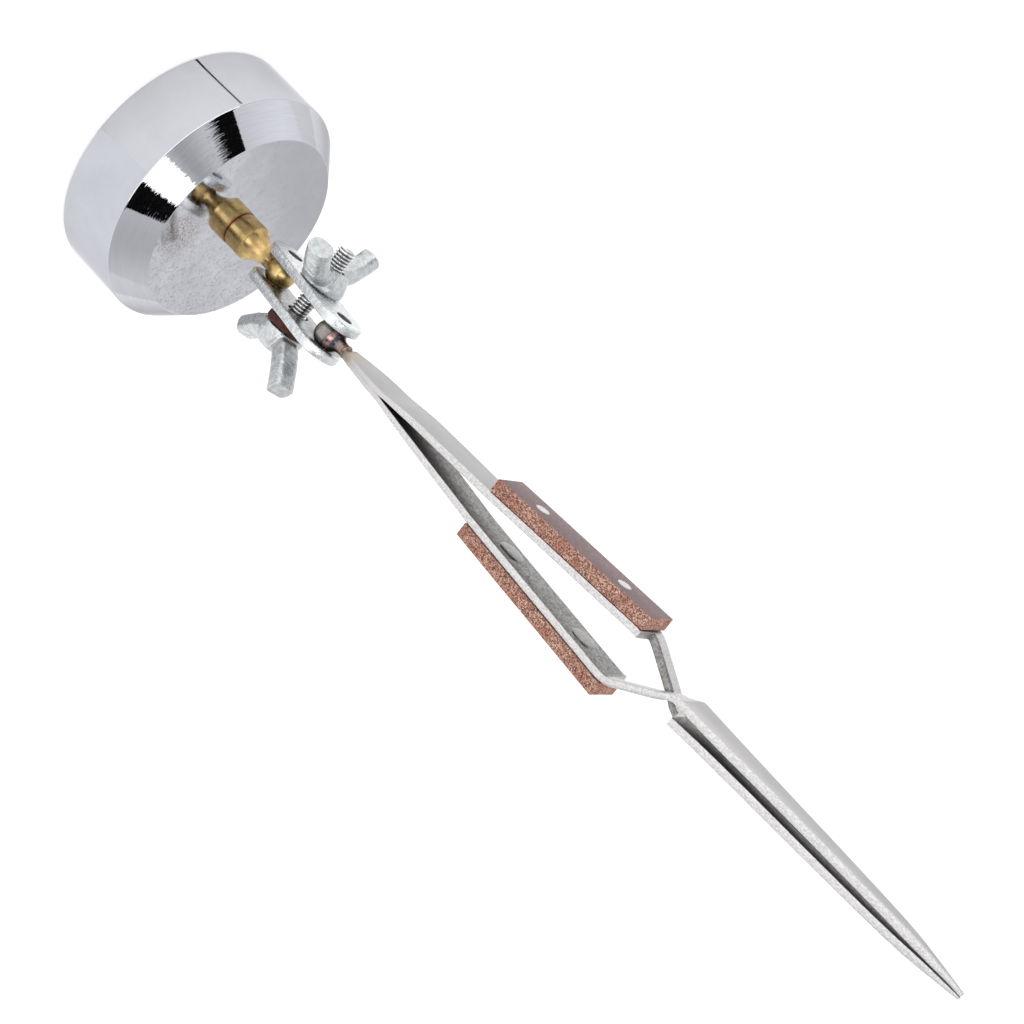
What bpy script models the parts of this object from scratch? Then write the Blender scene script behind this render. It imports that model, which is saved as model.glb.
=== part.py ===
"""Soldering third hand: weighted base, ball post, two-plate ball clamp and cross-lock tweezers.

World frame: metres, +Z up, origin at the centre of the flat underside of the base.
The screw of the clamp runs along +X. The rest pose leans the clamp towards +Y and
stands the tweezers upright again.
"""
import math

import bmesh
import bpy
from mathutils import Matrix

MM = 0.001

# Base weight
BASE_RADIUS = 27.0 * MM
BASE_WALL_TOP = 15.5 * MM
BASE_HEIGHT = 21.9 * MM
BASE_FACE_RADIUS = 21.6 * MM
BASE_FOOT_CHAMFER = 0.6 * MM
BASE_EDGE_BREAK = 0.25 * MM
STUD_HOLE_RADIUS = 2.8 * MM
STUD_HOLE_DEPTH = 10.3 * MM

# Brass post with its ball
FIT_GAP = 0.3 * MM
STUD_RADIUS = 2.5 * MM
STUD_LENGTH = 10.0 * MM
COLLAR_RADIUS = 3.9 * MM
COLLAR_TOP = 26.6 * MM
BALL_RADIUS = 3.2 * MM
POST_BALL_HEIGHT = 35.6 * MM
POST_NECK = (
    (3.55 * MM, 26.75 * MM),
    (2.95 * MM, 27.7 * MM),
    (2.42 * MM, 28.8 * MM),
    (1.95 * MM, 30.0 * MM),
    (1.68 * MM, 31.2 * MM),
    (1.62 * MM, 32.1 * MM),
)

# Clamp
BALL_SPACING = 21.96 * MM
CLAMP_LEAN = math.radians(16.5)
PLATE_HALF_GAP = 2.3 * MM
PLATE_THICKNESS = 2.05 * MM
PLATE_END_RADIUS = 4.9 * MM
PLATE_EDGE_ROUND = 0.25 * MM
SEAT_OUTER_RADIUS = 2.78 * MM
SEAT_DEPTH = 0.8 * MM
SEAT_HOLE_RADIUS = 1.7 * MM
SCREW_HOLE_RADIUS = 2.35 * MM
CUT_MARGIN = 1.0 * MM

# Wing screw, washer and wing nut
THREAD_CREST = 2.0 * MM
THREAD_ROOT = 1.72 * MM
THREAD_PITCH = 0.7 * MM
SCREW_TIP = 13.4 * MM
WASHER_RADIUS = 4.9 * MM
WASHER_THICKNESS = 1.4 * MM
NUT_BORE_RADIUS = 2.32 * MM
THREAD_RUN_OUT = 0.2 * MM
THREAD_TIP_CHAMFER = 0.3 * MM
# Heights of the foot, crest start and crest end of one ring, as shares of the pitch.
THREAD_FORM = (0.1, 0.45, 0.65)
# Hub of the screw head and of the nut as (radius, height above the seat).
HUB_PROFILE = (
    (4.6 * MM, 0.0),
    (4.7 * MM, 1.2 * MM),
    (4.4 * MM, 2.4 * MM),
    (3.9 * MM, 3.6 * MM),
    (3.3 * MM, 4.6 * MM),
)
HUB_CROWN = 0.3 * MM
WING_WIDTH = 5.3 * MM
WING_THICKNESS = 3.7 * MM
WING_SQUARENESS = 0.6
WING_SIDES = 12
SCREW_WING_ANGLE = math.radians(77.5)
NUT_WING_ANGLE = math.radians(26.5)
# Centre line of one wing as (height above the seat, distance from the screw axis).
NUT_WING_PATH = (
    (2.5 * MM, 3.1 * MM),
    (2.8 * MM, 5.2 * MM),
    (3.7 * MM, 7.6 * MM),
    (6.0 * MM, 10.3 * MM),
    (8.1 * MM, 12.2 * MM),
)
SCREW_WING_PATH = (
    (2.1 * MM, 3.1 * MM),
    (2.4 * MM, 5.4 * MM),
    (3.9 * MM, 8.2 * MM),
    (5.8 * MM, 11.0 * MM),
    (7.5 * MM, 13.3 * MM),
)

# Tweezers, measured along their length from the centre of their ball
TWEEZER_YAW = math.radians(5.4)
BALL_NECK_RADIUS = 1.3 * MM
BALL_NECK_END = 4.3 * MM
BEAD_START = 4.6 * MM
BEAD_END = 5.15 * MM
BEAD_RADIUS = 1.95 * MM
BEAD_ROUND = 0.3 * MM
EDGE_BREAK = 0.18 * MM
EDGE_BREAK_SHARE = 0.3

# Root half: (length, inner face, outer face, low side, high side) in millimetres.
ROOT_STATIONS = (
    (5.45, 0.15, 0.75, -2.1, 2.1),
    (8.0, 0.15, 0.80, -3.1, 3.1),
    (12.0, 0.15, 0.88, -4.1, 4.1),
    (15.0, 0.15, 0.95, -4.6, 4.6),
    (18.85, 0.15, 1.02, -4.7, 4.7),
)

# Arm, crossing leg and jaw of one blade, same columns as the root half.
ARM_STATIONS = (
    (19.15, 0.15, 1.05, -4.7, 4.7),
    (23.0, 0.42, 1.62, -4.7, 4.7),
    (27.0, 0.75, 2.08, -4.65, 4.65),
    (38.0, 1.50, 2.95, -4.4, 4.4),
    (49.0, 2.24, 3.74, -4.15, 4.15),
    (60.0, 2.95, 4.45, -4.1, 4.1),
    (75.0, 3.85, 5.35, -4.1, 4.1),
    (86.5, 4.56, 6.06, -4.1, 4.1),
    (88.4, 4.66, 6.18, -4.1, 4.1),
    (89.5, 4.60, 6.14, -4.1, 4.1),
    (89.75, 4.55, 6.10, -4.1, -0.25),
    (91.0, 4.00, 5.70, -4.1, -0.25),
    (95.0, 1.77, 3.49, -4.1, -0.25),
    (99.7, -0.86, 0.86, -4.1, -0.25),
    (102.0, -1.00, -2.60, -4.1, -0.25),
    (103.0, -1.10, -2.60, -4.1, -0.2),
    (104.2, -1.05, -2.60, -4.1, 4.1),
    (110.0, -0.82, -2.50, -3.82, 3.82),
    (116.0, -0.73, -2.45, -3.50, 3.50),
    (123.0, -0.70, -2.45, -3.05, 3.05),
    (130.0, -0.69, -2.42, -2.76, 2.76),
    (138.0, -0.66, -2.34, -2.52, 2.52),
    (145.0, -0.60, -2.26, -2.27, 2.27),
    (150.0, -0.55, -2.20, -2.12, 2.12),
    (154.0, -0.50, -2.15, -1.95, 1.95),
    (158.0, -0.40, -2.08, -1.75, 1.75),
    (162.0, -0.26, -1.95, -1.38, 1.38),
    (166.0, -0.18, -1.60, -0.98, 0.98),
    (169.0, -0.16, -1.28, -0.70, 0.70),
    (172.0, -0.15, -0.92, -0.50, 0.50),
    (173.4, -0.15, -0.68, -0.40, 0.40),
)

# Sideways offset of the mid plane between the arms, (length, offset) in millimetres.
MID_PLANE = (
    (19.0, 0.0),
    (49.0, -0.65),
    (90.0, -0.7),
    (104.0, -0.5),
    (116.0, -0.37),
    (130.0, -0.26),
    (145.0, -0.09),
    (158.0, 0.06),
    (173.4, 0.2),
)

# Shift of the blades along their own width, (length, shift) in millimetres.
WIDTH_SHIFT = ((5.45, -0.5), (12.0, -0.9), (27.0, -0.9), (49.0, 0.0))

# Grip pads and rivets
GRIP_START = 49.2
GRIP_END = 89.4
GRIP_THICKNESS = 2.6
GRIP_HALF_WIDTH = 4.3
GRIP_STRAIGHT_END = 86.5
GRIP_LAST_STEP = 2.0
SLOPE_STEP = 2.0
RIVET_POSITIONS = (58.2, 80.0)
RIVET_SHANK_RADIUS = 1.45 * MM
RIVET_HOLE_RADIUS = 1.76 * MM
RIVET_DOME_RADIUS = 2.9 * MM
RIVET_DOME_HEIGHT = 0.55 * MM
RIVET_CUT_REACH = 8.0 * MM
# Rivet head as (share of its radius, share of its height), from its top to its rim.
RIVET_DOME_SHAPE = ((0.0, 1.0), (0.45, 0.88), (0.78, 0.52), (0.95, 0.18), (1.0, 0.0))
BLADE_THICKNESS = 1.5

BASE_SEGMENTS = 72
TURNED_SEGMENTS = 36
NUT_SEGMENTS = 32
SMALL_SEGMENTS = 28
THREAD_SEGMENTS = 20
BALL_STEPS = 14
PLATE_END_STEPS = 16
SMOOTH_ANGLE = math.radians(35.0)


def clear_scene():
    """Remove every object already in the file."""
    for existing in list(bpy.data.objects):
        bpy.data.objects.remove(existing, do_unlink=True)


def make_material(name, colour, roughness, metallic):
    """Return one plain Principled material."""
    material = bpy.data.materials.new(name)
    material.use_nodes = True
    shader = material.node_tree.nodes["Principled BSDF"]
    shader.inputs["Base Color"].default_value = (*colour, 1.0)
    shader.inputs["Roughness"].default_value = roughness
    shader.inputs["Metallic"].default_value = metallic
    return material


def make_object(name, mesh_builder, material, parent=None):
    """Link a new object holding the finished mesh builder."""
    bmesh.ops.recalc_face_normals(mesh_builder, faces=mesh_builder.faces)
    mesh = bpy.data.meshes.new(name)
    mesh_builder.to_mesh(mesh)
    mesh_builder.free()
    mesh.materials.append(material)
    item = bpy.data.objects.new(name, mesh)
    bpy.context.scene.collection.objects.link(item)
    item.parent = parent
    return item


def make_empty(name, location, rotation):
    """Link an empty that carries a group of pieces."""
    empty = bpy.data.objects.new(name, None)
    empty.location = location
    empty.rotation_euler = rotation
    bpy.context.scene.collection.objects.link(empty)
    return empty


def smooth(item):
    """Shade the round faces smooth and keep real corners sharp."""
    item.data.shade_smooth()
    item.data.set_sharp_from_angle(angle=SMOOTH_ANGLE)


def lathe(profile, segments, closed_ring=False):
    """Turn a (radius, height) profile about local Z into a closed mesh."""
    builder = bmesh.new()
    rings = []
    for radius, height in profile:
        if radius < 1.0e-7:
            rings.append([builder.verts.new((0.0, 0.0, height))])
            continue
        ring = []
        for index in range(segments):
            angle = 2.0 * math.pi * index / segments
            ring.append(builder.verts.new((radius * math.cos(angle), radius * math.sin(angle), height)))
        rings.append(ring)
    pairs = list(zip(rings[:-1], rings[1:]))
    if closed_ring:
        pairs.append((rings[-1], rings[0]))
    for lower, upper in pairs:
        join_rings(builder, lower, upper, segments)
    return builder


def join_rings(builder, lower, upper, segments):
    """Skin the band between two rings, either of which may be a single point."""
    for index in range(segments):
        following = (index + 1) % segments
        if len(lower) == 1:
            builder.faces.new((lower[0], upper[following], upper[index]))
        elif len(upper) == 1:
            builder.faces.new((lower[index], lower[following], upper[0]))
        else:
            builder.faces.new((lower[index], lower[following], upper[following], upper[index]))


def ball_arc(radius, centre, start, finish, steps):
    """Profile points of a ball between two polar angles measured from the top."""
    points = []
    for index in range(steps + 1):
        angle = start + (finish - start) * index / steps
        points.append((radius * math.sin(angle), centre + radius * math.cos(angle)))
    return points


def loft(sections):
    """Skin equal-length closed sections and cap both ends."""
    builder = bmesh.new()
    rings = [[builder.verts.new(point) for point in section] for section in sections]
    count = len(rings[0])
    for lower, upper in zip(rings[:-1], rings[1:]):
        for index in range(count):
            following = (index + 1) % count
            builder.faces.new((lower[index], lower[following], upper[following], upper[index]))
    builder.faces.new(rings[0])
    builder.faces.new(list(reversed(rings[-1])))
    return builder


def look_up(table, length):
    """Interpolate a (length, value) table, holding the end values beyond its ends."""
    for (start, before), (finish, after) in zip(table[:-1], table[1:]):
        if length <= finish:
            share = max(0.0, (length - start) / (finish - start))
            return before + (after - before) * share
    return table[-1][1]


def station_at(length):
    """Interpolate the inner and outer face of an arm at a length in millimetres."""
    for before, after in zip(ARM_STATIONS[:-1], ARM_STATIONS[1:]):
        if before[0] <= length <= after[0]:
            share = (length - before[0]) / (after[0] - before[0])
            inner = before[1] + (after[1] - before[1]) * share
            outer = before[2] + (after[2] - before[2]) * share
            return inner, outer
    return ARM_STATIONS[-1][1], ARM_STATIONS[-1][2]


def strip_section(length, inner, outer, low, high):
    """One eight-cornered section of a strip with broken edges, in metres."""
    near, far = min(inner, outer) * MM, max(inner, outer) * MM
    left, right = low * MM, high * MM
    cut = min(EDGE_BREAK, EDGE_BREAK_SHARE * (far - near))
    height = length * MM
    return [
        (near + cut, left, height),
        (far - cut, left, height),
        (far, left + cut, height),
        (far, right - cut, height),
        (far - cut, right, height),
        (near + cut, right, height),
        (near, right - cut, height),
        (near, left + cut, height),
    ]


def strip(stations, side):
    """Loft a strip through its stations, shifted with the mid plane and the width shift."""
    sections = []
    for length, inner, outer, low, high in stations:
        across = side * look_up(MID_PLANE, length)
        along = side * look_up(WIDTH_SHIFT, length)
        sections.append(strip_section(length, inner + across, outer + across, low + along, high + along))
    return loft(sections)


def cut_with(target, cutter):
    """Subtract a hidden cutter from the target."""
    cutter.hide_render = True
    cutter.display_type = "WIRE"
    modifier = target.modifiers.new(cutter.name, "BOOLEAN")
    modifier.operation = "DIFFERENCE"
    modifier.solver = "EXACT"
    modifier.object = cutter


def add_with(target, helper):
    """Join a hidden helper solid onto the target."""
    helper.hide_render = True
    helper.display_type = "WIRE"
    modifier = target.modifiers.new(helper.name, "BOOLEAN")
    modifier.operation = "UNION"
    modifier.solver = "EXACT"
    modifier.object = helper


def build_base():
    """Chamfered steel weight with a blind hole for the post stud."""
    steel = make_material("chrome_plate", (0.80, 0.81, 0.83), 0.12, 1.0)
    profile = (
        (0.0, 0.0),
        (BASE_RADIUS - BASE_FOOT_CHAMFER, 0.0),
        (BASE_RADIUS, BASE_FOOT_CHAMFER),
        (BASE_RADIUS, BASE_WALL_TOP - BASE_EDGE_BREAK),
        (BASE_RADIUS - BASE_EDGE_BREAK, BASE_WALL_TOP + BASE_EDGE_BREAK),
        (BASE_FACE_RADIUS + BASE_EDGE_BREAK, BASE_HEIGHT - BASE_EDGE_BREAK),
        (BASE_FACE_RADIUS - BASE_EDGE_BREAK, BASE_HEIGHT),
        (STUD_HOLE_RADIUS, BASE_HEIGHT),
        (STUD_HOLE_RADIUS, BASE_HEIGHT - STUD_HOLE_DEPTH),
        (0.0, BASE_HEIGHT - STUD_HOLE_DEPTH),
    )
    smooth(make_object("base_weight", lathe(profile, BASE_SEGMENTS), steel))


def build_post():
    """Turned brass post: stud, collar, waisted neck and ball in one piece."""
    brass = make_material("turned_brass", (0.72, 0.50, 0.20), 0.22, 1.0)
    collar_foot = BASE_HEIGHT + FIT_GAP
    profile = [
        (0.0, collar_foot - STUD_LENGTH),
        (STUD_RADIUS, collar_foot - STUD_LENGTH),
        (STUD_RADIUS, collar_foot),
        (COLLAR_RADIUS, collar_foot),
        (COLLAR_RADIUS, COLLAR_TOP),
    ]
    profile.extend(POST_NECK)
    neck_radius = POST_NECK[-1][0]
    start = math.pi - math.asin(neck_radius / BALL_RADIUS)
    profile.extend(ball_arc(BALL_RADIUS, POST_BALL_HEIGHT, start, 0.0, BALL_STEPS))
    profile[-1] = (0.0, POST_BALL_HEIGHT + BALL_RADIUS)
    smooth(make_object("ball_post", lathe(profile, TURNED_SEGMENTS), brass))


def plate_outline(radius):
    """Corner points of a stadium around both ball centres, in the local YZ plane."""
    points = []
    for index in range(PLATE_END_STEPS + 1):
        angle = math.pi * index / PLATE_END_STEPS
        points.append((radius * math.cos(angle), BALL_SPACING + radius * math.sin(angle)))
    for index in range(PLATE_END_STEPS + 1):
        angle = math.pi + math.pi * index / PLATE_END_STEPS
        points.append((radius * math.cos(angle), radius * math.sin(angle)))
    return points


def plate_body(side):
    """Rounded plate lying between its inner and outer face on one side of the balls."""
    inner = PLATE_HALF_GAP
    outer = PLATE_HALF_GAP + PLATE_THICKNESS
    levels = (
        (inner, PLATE_END_RADIUS - PLATE_EDGE_ROUND),
        (inner + PLATE_EDGE_ROUND, PLATE_END_RADIUS),
        (outer - PLATE_EDGE_ROUND, PLATE_END_RADIUS),
        (outer, PLATE_END_RADIUS - PLATE_EDGE_ROUND),
    )
    sections = []
    for offset, radius in levels:
        sections.append([(side * offset, y, z) for y, z in plate_outline(radius)])
    return loft(sections)


def hole_cutter(name, profile, frame, height, material):
    """Hidden cutter turned about the clamp's X direction at a height."""
    cutter = make_object(name, lathe(profile, SMALL_SEGMENTS), material, frame)
    cutter.location = (0.0, 0.0, height)
    return cutter


def build_plate(name, side, frame, material):
    """One clamp plate with two ball seats and a clearance hole for the screw."""
    plate = make_object(name, plate_body(side), material, frame)
    inner = PLATE_HALF_GAP
    outer = PLATE_HALF_GAP + PLATE_THICKNESS
    seat_profile = (
        (0.0, inner - CUT_MARGIN),
        (SEAT_OUTER_RADIUS, inner - CUT_MARGIN),
        (SEAT_OUTER_RADIUS, inner),
        (SEAT_HOLE_RADIUS, inner + SEAT_DEPTH),
        (SEAT_HOLE_RADIUS, outer + CUT_MARGIN),
        (0.0, outer + CUT_MARGIN),
    )
    screw_profile = (
        (0.0, inner - CUT_MARGIN),
        (SCREW_HOLE_RADIUS, inner - CUT_MARGIN),
        (SCREW_HOLE_RADIUS, outer + CUT_MARGIN),
        (0.0, outer + CUT_MARGIN),
    )
    holes = (
        ("post_seat", seat_profile, 0.0),
        ("screw_hole", screw_profile, 0.5 * BALL_SPACING),
        ("tweezer_seat", seat_profile, BALL_SPACING),
    )
    for label, profile, height in holes:
        cutter = hole_cutter(name + "_" + label, profile, frame, height, material)
        cutter.rotation_euler = (0.0, side * 0.5 * math.pi, 0.0)
        cut_with(plate, cutter)
    smooth(plate)


def thread_profile(start, finish):
    """Ring-shaped thread crests and roots between two heights."""
    points = []
    count = int((finish - start) / THREAD_PITCH)
    for index in range(count):
        height = start + index * THREAD_PITCH
        for radius, share in zip((THREAD_ROOT, THREAD_CREST, THREAD_CREST), THREAD_FORM):
            points.append((radius, height + share * THREAD_PITCH))
    return points


def squared_off(value):
    """Push a sine or cosine outwards so that an oval grows squarer sides."""
    return math.copysign(abs(value) ** WING_SQUARENESS, value)


def wing_section(previous, current, following):
    """Oval section of a wing square to its centre line, in (radial, tangent, height)."""
    along_height = following[0] - previous[0]
    along_radius = following[1] - previous[1]
    length = math.hypot(along_height, along_radius)
    normal_height = along_radius / length
    normal_radius = -along_height / length
    points = []
    for index in range(WING_SIDES):
        angle = 2.0 * math.pi * index / WING_SIDES
        tangent = 0.5 * WING_WIDTH * squared_off(math.cos(angle))
        offset = 0.5 * WING_THICKNESS * squared_off(math.sin(angle))
        radial = current[1] + normal_radius * offset
        height = current[0] + normal_height * offset
        points.append((radial, tangent, height))
    return points


def wing_solid(path, half_turns):
    """One wing of a wing nut or wing screw about local Z."""
    sections = []
    last = len(path) - 1
    for index, current in enumerate(path):
        previous = path[max(0, index - 1)]
        following = path[min(last, index + 1)]
        sections.append(wing_section(previous, current, following))
    builder = loft(sections)
    turn = Matrix.Rotation(math.pi * half_turns, 4, "Z")
    bmesh.ops.transform(builder, matrix=turn, verts=builder.verts)
    return builder


def add_wings(item, path, material, seat, rotation, frame):
    """Join two opposite wings to a hub that starts at the seat height."""
    for half_turns in (0, 1):
        name = item.name + "_wing_" + str(half_turns)
        wing = make_object(name, wing_solid(path, half_turns), material, frame)
        wing.location = seat
        wing.rotation_euler = rotation
        add_with(item, wing)


def build_fasteners(frame):
    """Wing screw from the -X side, fibre washer, and wing nut on the +X side."""
    zinc = make_material("zinc_fastener", (0.72, 0.74, 0.76), 0.34, 1.0)
    fibre = make_material("fibre_washer", (0.16, 0.07, 0.05), 0.75, 0.0)
    screw_height = 0.5 * BALL_SPACING
    plate_outer = PLATE_HALF_GAP + PLATE_THICKNESS
    washer_start = plate_outer + FIT_GAP
    head_start = washer_start + WASHER_THICKNESS + FIT_GAP
    build_washer(frame, fibre, washer_start, screw_height)
    build_screw(frame, zinc, head_start, screw_height)
    build_nut(frame, zinc, plate_outer + FIT_GAP, screw_height)


def build_washer(frame, material, start, screw_height):
    """Flat fibre washer under the screw head."""
    profile = (
        (SCREW_HOLE_RADIUS, 0.0),
        (WASHER_RADIUS, 0.0),
        (WASHER_RADIUS, WASHER_THICKNESS),
        (SCREW_HOLE_RADIUS, WASHER_THICKNESS),
    )
    ring = lathe(profile, TURNED_SEGMENTS, closed_ring=True)
    washer = make_object("fibre_washer", ring, material, frame)
    washer.location = (-start, 0.0, screw_height)
    washer.rotation_euler = (0.0, -0.5 * math.pi, 0.0)
    smooth(washer)


def build_screw(frame, material, head_start, screw_height):
    """Wing screw: winged head and threaded shank turned as one piece."""
    tip = head_start + SCREW_TIP
    profile = [(0.0, 0.0), (THREAD_ROOT - THREAD_TIP_CHAMFER, 0.0)]
    profile.extend(thread_profile(THREAD_RUN_OUT, tip - THREAD_RUN_OUT))
    profile.append((THREAD_ROOT, tip))
    profile.extend((radius, tip + height) for radius, height in HUB_PROFILE)
    profile.append((0.0, tip + HUB_PROFILE[-1][1] + HUB_CROWN))
    screw = make_object("wing_screw", lathe(profile, THREAD_SEGMENTS), material, frame)
    screw.location = (SCREW_TIP, 0.0, screw_height)
    screw.rotation_euler = (0.0, -0.5 * math.pi, 0.0)
    about_screw = Matrix.Rotation(0.5 * math.pi - SCREW_WING_ANGLE, 4, "Z")
    turn = Matrix.Rotation(-0.5 * math.pi, 4, "Y") @ about_screw
    seat = (-head_start, 0.0, screw_height)
    add_wings(screw, SCREW_WING_PATH, material, seat, turn.to_euler(), frame)
    smooth(screw)


def build_nut(frame, material, start, screw_height):
    """Wing nut with a plain bore that clears the thread."""
    profile = ((NUT_BORE_RADIUS, 0.0),) + HUB_PROFILE + ((NUT_BORE_RADIUS, HUB_PROFILE[-1][1]),)
    ring = lathe(profile, NUT_SEGMENTS, closed_ring=True)
    nut = make_object("wing_nut", ring, material, frame)
    nut.location = (start, 0.0, screw_height)
    nut.rotation_euler = (0.0, 0.5 * math.pi, 0.0)
    about_screw = Matrix.Rotation(0.5 * math.pi + NUT_WING_ANGLE, 4, "Z")
    turn = Matrix.Rotation(0.5 * math.pi, 4, "Y") @ about_screw
    seat = (start, 0.0, screw_height)
    add_wings(nut, NUT_WING_PATH, material, seat, turn.to_euler(), frame)
    smooth(nut)


def build_clamp():
    """Both plates and the fasteners, carried by an empty at the post ball."""
    frame = make_empty("clamp_frame", (0.0, 0.0, POST_BALL_HEIGHT), (-CLAMP_LEAN, 0.0, 0.0))
    zinc = make_material("zinc_plate", (0.74, 0.76, 0.78), 0.30, 1.0)
    build_plate("front_plate", -1.0, frame, zinc)
    build_plate("rear_plate", 1.0, frame, zinc)
    build_fasteners(frame)


def build_tweezer_ball(frame):
    """Steel ball with a short neck, and the braze bead that joins it to the blades."""
    blued = make_material("blued_steel", (0.16, 0.15, 0.16), 0.25, 1.0)
    braze = make_material("braze_alloy", (0.48, 0.30, 0.20), 0.45, 1.0)
    start = math.asin(BALL_NECK_RADIUS / BALL_RADIUS)
    profile = [(0.0, BALL_NECK_END), (BALL_NECK_RADIUS, BALL_NECK_END)]
    profile.extend(ball_arc(BALL_RADIUS, 0.0, start, math.pi, BALL_STEPS))
    profile[-1] = (0.0, -BALL_RADIUS)
    smooth(make_object("tweezer_ball", lathe(profile, TURNED_SEGMENTS), blued, frame))
    middle = 0.5 * (BEAD_START + BEAD_END)
    bead_profile = (
        (0.0, BEAD_START),
        (BEAD_RADIUS - BEAD_ROUND, BEAD_START),
        (BEAD_RADIUS, middle),
        (BEAD_RADIUS - BEAD_ROUND, BEAD_END),
        (0.0, BEAD_END),
    )
    smooth(make_object("braze_bead", lathe(bead_profile, SMALL_SEGMENTS), braze, frame))


def arm_slope(length):
    """Angle of the outer face of an arm to the tweezers' length."""
    before = station_at(length - SLOPE_STEP)[1]
    after = station_at(length + SLOPE_STEP)[1]
    return math.atan2(after - before, 2.0 * SLOPE_STEP)


def rivet_cutter(name, frame, length, side, turn, material):
    """Hidden cutter for one rivet hole, square to the arm."""
    profile = (
        (0.0, -RIVET_CUT_REACH),
        (RIVET_HOLE_RADIUS, -RIVET_CUT_REACH),
        (RIVET_HOLE_RADIUS, RIVET_CUT_REACH),
        (0.0, RIVET_CUT_REACH),
    )
    cutter = make_object(name, lathe(profile, SMALL_SEGMENTS), material, frame)
    place_on_arm(cutter, length, side, turn)
    return cutter


def place_on_arm(item, length, side, turn):
    """Stand a turned piece on the inner face of an arm, its axis square to the arm."""
    inner = station_at(length)[0] + side * look_up(MID_PLANE, length)
    slope = arm_slope(length)
    square = Matrix.Rotation(0.5 * math.pi + slope, 4, "Y")
    spot = Matrix.Translation((inner * MM, 0.0, length * MM))
    matrix = Matrix.Rotation(turn, 4, "Z") @ spot @ square
    item.location = matrix.to_translation()
    item.rotation_euler = matrix.to_euler()


def rivet_profile():
    """Rivet turned about Z: domed head below the inner face, plain shank to the pad face."""
    base = -FIT_GAP
    top = (BLADE_THICKNESS + GRIP_THICKNESS) * MM + FIT_GAP
    profile = []
    for share, rise in RIVET_DOME_SHAPE:
        profile.append((share * RIVET_DOME_RADIUS, base - rise * RIVET_DOME_HEIGHT))
    profile.extend(((RIVET_SHANK_RADIUS, base), (RIVET_SHANK_RADIUS, top), (0.0, top)))
    return profile


def grip_stations():
    """Stations of a grip pad lying just outside the arm."""
    gap = FIT_GAP / MM
    lengths = [GRIP_START]
    for station in ARM_STATIONS:
        if GRIP_START < station[0] < GRIP_END - GRIP_LAST_STEP:
            lengths.append(station[0])
    lengths.append(GRIP_END)
    stations = []
    for length in lengths:
        outer = grip_seat(length) + gap
        stations.append((length, outer, outer + GRIP_THICKNESS, -GRIP_HALF_WIDTH, GRIP_HALF_WIDTH))
    return stations


def grip_seat(length):
    """Outer face of the arm under the grip, carried on straight past the bend."""
    if length <= GRIP_STRAIGHT_END:
        return station_at(length)[1]
    slope = math.tan(arm_slope(GRIP_STRAIGHT_END - 2.0 * SLOPE_STEP))
    return station_at(GRIP_STRAIGHT_END)[1] + slope * (length - GRIP_STRAIGHT_END)


def build_arm(label, side, turn, frame, materials):
    """Root half, blade, grip pad and two rivets of one side of the tweezers."""
    nickel, fibre, rivet_steel = materials
    root = make_object(label + "_root", strip(ROOT_STATIONS, side), nickel, frame)
    root.rotation_euler = (0.0, 0.0, turn)
    blade = make_object(label + "_blade", strip(ARM_STATIONS, side), nickel, frame)
    blade.rotation_euler = (0.0, 0.0, turn)
    grip = make_object(label + "_grip", strip(grip_stations(), side), fibre, frame)
    grip.rotation_euler = (0.0, 0.0, turn)
    for index, length in enumerate(RIVET_POSITIONS):
        suffix = ("rear", "front")[index]
        cutter = rivet_cutter(label + "_hole_" + suffix, frame, length, side, turn, nickel)
        cut_with(blade, cutter)
        cut_with(grip, cutter)
        turned = lathe(rivet_profile(), SMALL_SEGMENTS)
        rivet = make_object(label + "_rivet_" + suffix, turned, rivet_steel, frame)
        place_on_arm(rivet, length, side, turn)
        smooth(rivet)


def build_tweezers():
    """Cross-lock tweezers carried by an empty at the centre of their ball."""
    centre = (
        0.0,
        BALL_SPACING * math.sin(CLAMP_LEAN),
        POST_BALL_HEIGHT + BALL_SPACING * math.cos(CLAMP_LEAN),
    )
    frame = make_empty("tweezer_frame", centre, (0.0, 0.0, TWEEZER_YAW))
    nickel = make_material("nickel_steel", (0.66, 0.66, 0.66), 0.32, 1.0)
    fibre = make_material("grip_fibre", (0.33, 0.14, 0.10), 0.62, 0.0)
    rivet_steel = make_material("rivet_steel", (0.78, 0.78, 0.79), 0.28, 1.0)
    build_tweezer_ball(frame)
    materials = (nickel, fibre, rivet_steel)
    build_arm("upper", 1.0, 0.0, frame, materials)
    build_arm("lower", -1.0, math.pi, frame, materials)


clear_scene()
build_base()
build_post()
build_clamp()
build_tweezers()
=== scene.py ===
"""Looks for the soldering third hand: weighted base, ball clamp and cross-lock tweezers.

Lengths in the tables are millimetres. Pieces are built in millimetres in their own
frame and brought into the CAD's frame, in metres, by the matrices near the top.
"""
import math

import bmesh
import bpy
import numpy as np
from mathutils import Matrix, Vector, noise


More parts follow.
